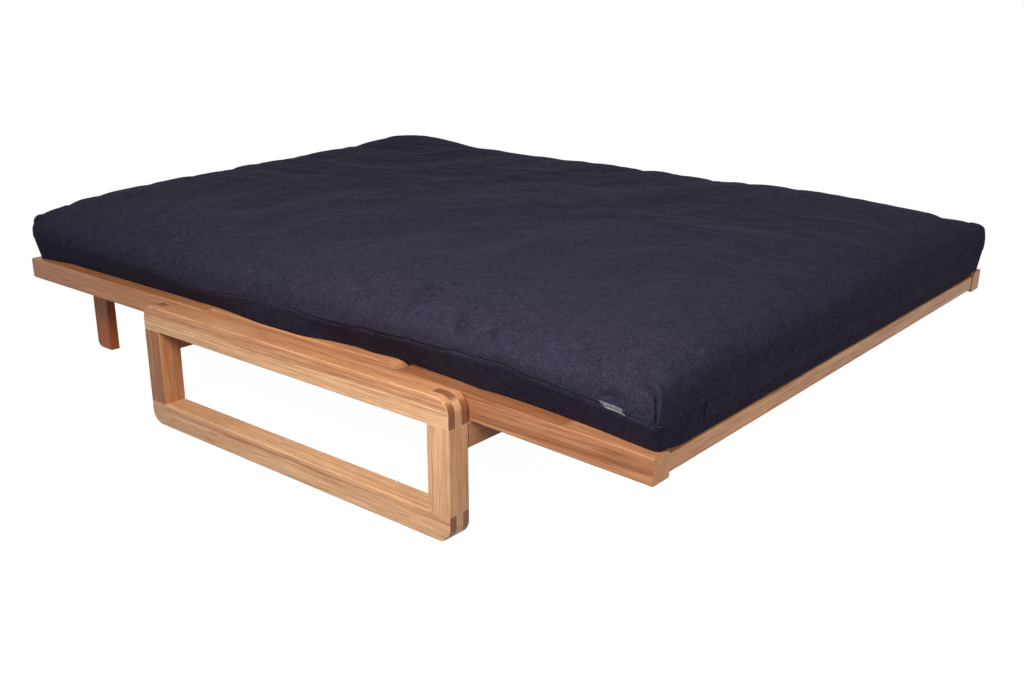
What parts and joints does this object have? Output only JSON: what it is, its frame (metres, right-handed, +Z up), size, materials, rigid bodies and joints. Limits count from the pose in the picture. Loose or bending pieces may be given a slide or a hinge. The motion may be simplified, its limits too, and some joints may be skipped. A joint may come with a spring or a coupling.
{
  "type": "futon bed",
  "caption": "Low wooden futon bed with two rectangular hoop sides, three folding slatted leaves and a thick cushioned mattress.",
  "frame": {"origin": "on the floor under the middle of the slatted frame", "axes": "+Y from the seat end to the head end, +Z up, +X to the right"},
  "size_m": [1.62, 1.9005, 0.4474],
  "materials": {
    "frame_wood": "oiled satin",
    "inner_wood": "planed",
    "mattress_cover": "woven",
    "label_cloth": "woven",
    "hinge_steel": "satin",
    "screw_steel": "satin"
  },
  "bodies": {
    "base": {"base_dowels": "inner_wood", "front_cross_rail": "frame_wood", "left_hoop_foot_rail": "frame_wood", "left_hoop_front_leg": "frame_wood", "left_hoop_rear_leg": "frame_wood", "left_hoop_top_rail": "frame_wood", "left_runner": "frame_wood", "rear_cross_rail": "frame_wood", "right_hoop_foot_rail": "frame_wood", "right_hoop_front_leg": "frame_wood", "right_hoop_rear_leg": "frame_wood", "right_hoop_top_rail": "frame_wood", "right_runner": "frame_wood"},
    "seat_leaf": {"left_seat_rail": "frame_wood", "right_seat_rail": "frame_wood", "seat_bearer": "inner_wood", "seat_front_rail": "frame_wood", "seat_hinge_pins": "hinge_steel", "seat_inner_rail": "frame_wood", "seat_screws": "screw_steel", "seat_slat_1": "inner_wood", "seat_slat_2": "inner_wood", "seat_slat_3": "inner_wood", "mattress_seat": "mattress_cover", "mattress_label": "label_cloth"},
    "back_leaf": {"back_bearer": "inner_wood", "back_butt_leaves": "hinge_steel", "back_lower_rail": "frame_wood", "back_screws": "screw_steel", "back_slat_1": "inner_wood", "back_slat_2": "inner_wood", "back_slat_3": "inner_wood", "back_upper_rail": "frame_wood", "left_back_rail": "frame_wood", "right_back_rail": "frame_wood", "left_hinge_plate": "hinge_steel", "right_hinge_plate": "hinge_steel", "tail_hinge_pins": "hinge_steel", "mattress_seat_fold": "mattress_cover", "mattress_back": "mattress_cover", "mattress_tail_fold": "mattress_cover"},
    "tail_leaf": {"tail_bearer": "inner_wood", "tail_butt_leaves": "hinge_steel", "tail_end_rail": "frame_wood", "tail_inner_rail": "frame_wood", "tail_screws": "screw_steel", "tail_slat_1": "inner_wood", "tail_slat_2": "inner_wood", "tail_slat_3": "inner_wood", "tail_slat_4": "inner_wood", "left_tail_rail": "frame_wood", "right_tail_rail": "frame_wood", "left_small_leg": "frame_wood", "right_small_leg": "frame_wood", "mattress_tail": "mattress_cover"}
  },
  "joints": [
    {"name": "seat_slide", "type": "slide", "parent": "base", "child": "seat_leaf", "axis": [0, 0.9995, 0.0314], "range_m": [0, 0.386]},
    {"name": "back_fold", "type": "hinge", "parent": "seat_leaf", "child": "back_leaf", "pos_m": [0, -0.392, 0.256], "axis": [1, 0, 0], "range_deg": [0, 72.01], "deforming": ["mattress_seat_fold"]},
    {"name": "tail_fold", "type": "hinge", "parent": "back_leaf", "child": "tail_leaf", "pos_m": [0, 0.208, 0.2255], "axis": [1, 0, 0], "range_deg": [-132.01, 0], "deforming": ["mattress_tail_fold"]}
  ],
  "couplings": [
    {"joint": "back_fold", "follows": "seat_slide", "rad_per_m": 3.2555},
    {"joint": "tail_fold", "follows": "seat_slide", "rad_per_m": -5.9685}
  ]
}
